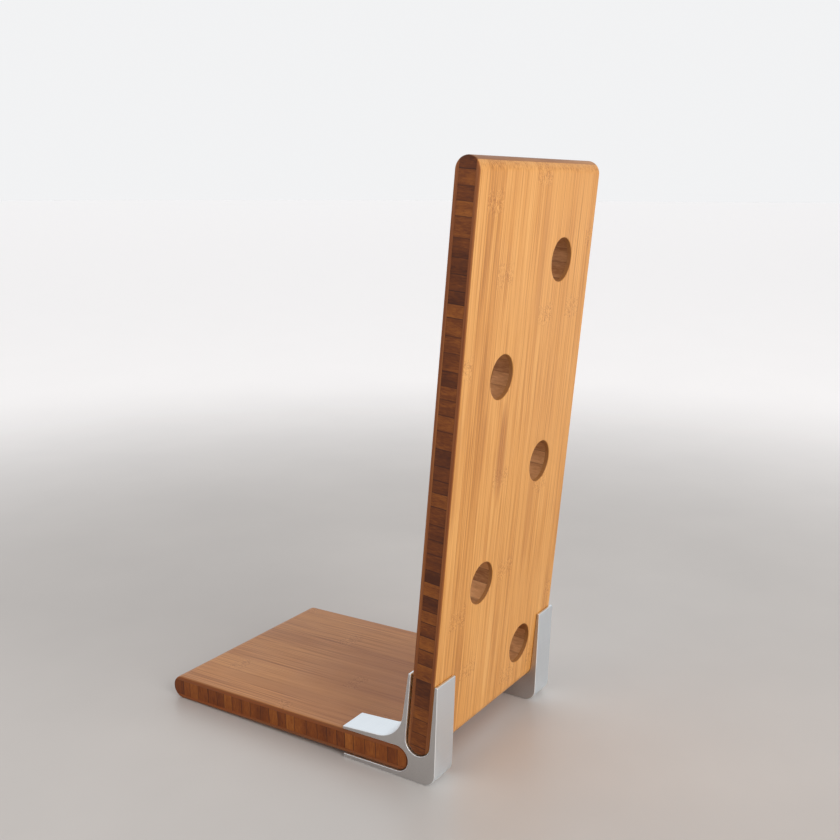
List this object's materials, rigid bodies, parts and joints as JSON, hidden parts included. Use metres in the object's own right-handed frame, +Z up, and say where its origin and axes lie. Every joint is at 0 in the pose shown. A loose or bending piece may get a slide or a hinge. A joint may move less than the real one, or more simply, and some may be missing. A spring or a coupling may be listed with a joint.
{
  "type": "wine rack",
  "caption": "Free-standing wine rack: a leaning bamboo board with a zigzag of bottle-neck holes, joined to a bamboo base board by slotted aluminium brackets.",
  "frame": {"origin": "middle of the rack's footprint, on the surface it stands on", "axes": "+X across the boards, to the right as seen from the front; -Y the front, where the bottle necks come out; +Z up"},
  "size_m": [0.1798, 0.2904, 0.4359],
  "materials": {
    "bamboo_face": "clear satin lacquer over lengthwise strips",
    "bamboo_core": "clear satin lacquer over darker crosswise strips, end grain at the sides",
    "bracket_aluminium": "satin anodised extrusion with fine die lines",
    "screw_steel": "zinc plated"
  },
  "bodies": {
    "root": {"upright_front_ply": "bamboo_face", "upright_core": "bamboo_core", "upright_back_ply": "bamboo_face", "base_top_ply": "bamboo_face", "base_core": "bamboo_core", "base_bottom_ply": "bamboo_face", "left_bracket": "bracket_aluminium", "right_bracket": "bracket_aluminium", "left_upright_screw_1": "screw_steel", "left_upright_screw_2": "screw_steel", "right_upright_screw_1": "screw_steel", "right_upright_screw_2": "screw_steel", "left_base_screw_1": "screw_steel", "left_base_screw_2": "screw_steel", "right_base_screw_1": "screw_steel", "right_base_screw_2": "screw_steel"}
  },
  "joints": []
}
